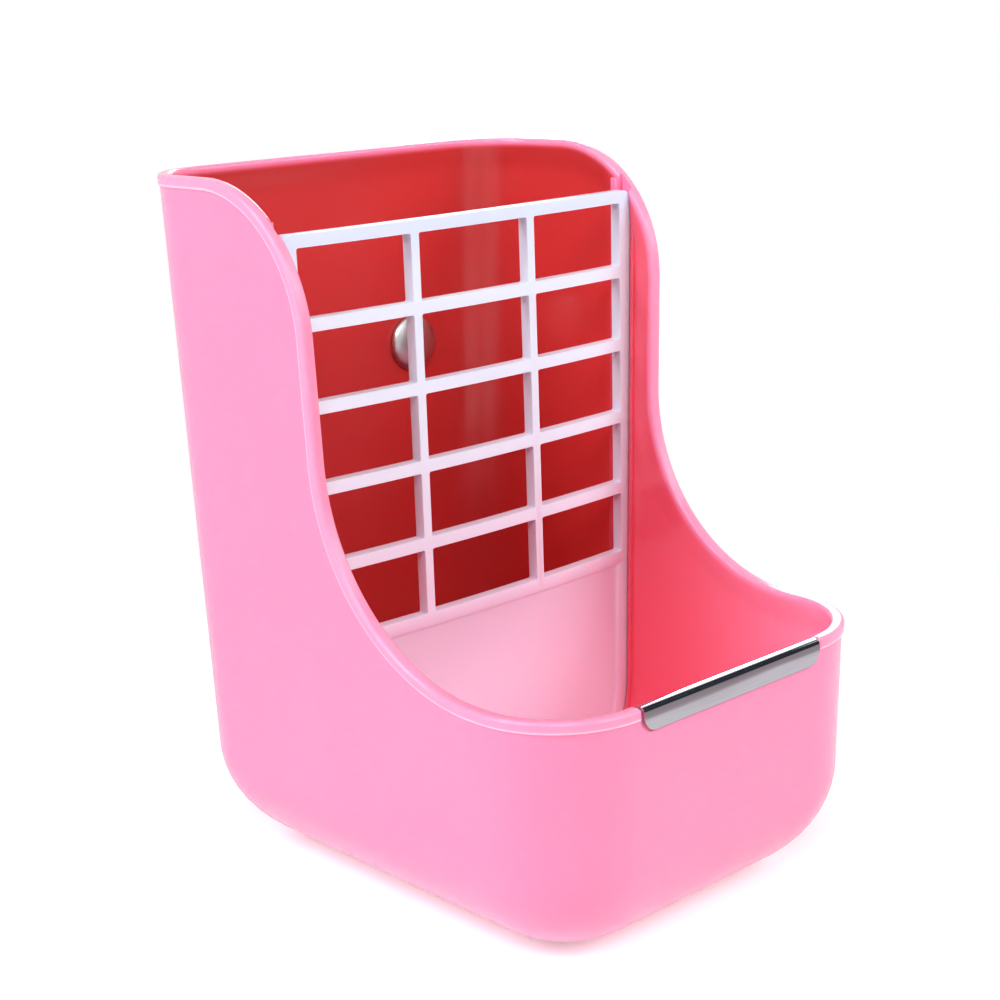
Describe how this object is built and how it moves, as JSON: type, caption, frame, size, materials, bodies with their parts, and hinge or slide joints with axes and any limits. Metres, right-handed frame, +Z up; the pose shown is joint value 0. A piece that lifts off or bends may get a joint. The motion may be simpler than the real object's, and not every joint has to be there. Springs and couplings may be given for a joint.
{
  "type": "hay feeder box",
  "caption": "Open moulded feeder with a tall hopper, a lift-out lattice rack, a low rounded bowl, a steel-guarded front rim and clamp fixings on its flat back.",
  "frame": {"origin": "under the middle of the whole part, on the surface it stands on", "axes": "+Z up, -Y towards the bowl and its front rim, +X to the right in a view from the front"},
  "size_m": [0.1278, 0.1726, 0.185],
  "materials": {
    "pink_plastic": "glossy moulded polypropylene, candy pink",
    "white_plastic": "satin moulded polypropylene, cool white",
    "polished_steel": "polished stainless strip",
    "zinc_steel": "bright zinc plate",
    "pale_plastic": "plain moulded plastic"
  },
  "bodies": {
    "box": {"body_shell": "pink_plastic", "steel_guard": "polished_steel", "left_clamp_bolt": "zinc_steel", "right_clamp_bolt": "zinc_steel"},
    "rack": {"hay_rack": "white_plastic"},
    "left_clamp": {"left_clamp_plate": "pale_plastic"},
    "right_clamp": {"right_clamp_plate": "pale_plastic"},
    "left_nut": {"left_wing_nut": "pale_plastic"},
    "right_nut": {"right_wing_nut": "pale_plastic"}
  },
  "joints": [
    {"name": "rack_lift", "type": "slide", "parent": "box", "child": "rack", "axis": [0, 0, 1], "range_m": [0, 0.17]},
    {"name": "left_clamp_slide", "type": "slide", "parent": "box", "child": "left_clamp", "axis": [0, 1, 0], "range_m": [0, 0.0061]},
    {"name": "left_nut_turn", "type": "hinge", "parent": "left_clamp", "child": "left_nut", "pos_m": [-0.028, 0.06878, 0.128], "axis": [0, 1, 0], "range_deg": [0, 720]},
    {"name": "right_clamp_slide", "type": "slide", "parent": "box", "child": "right_clamp", "axis": [0, 1, 0], "range_m": [0, 0.0061]},
    {"name": "right_nut_turn", "type": "hinge", "parent": "right_clamp", "child": "right_nut", "pos_m": [0.028, 0.06878, 0.128], "axis": [0, 1, 0], "range_deg": [0, 720]}
  ],
  "couplings": [
    {"joint": "left_clamp_slide", "follows": "left_nut_turn", "m_per_rad": 0.00047746},
    {"joint": "right_clamp_slide", "follows": "right_nut_turn", "m_per_rad": 0.00047746}
  ]
}
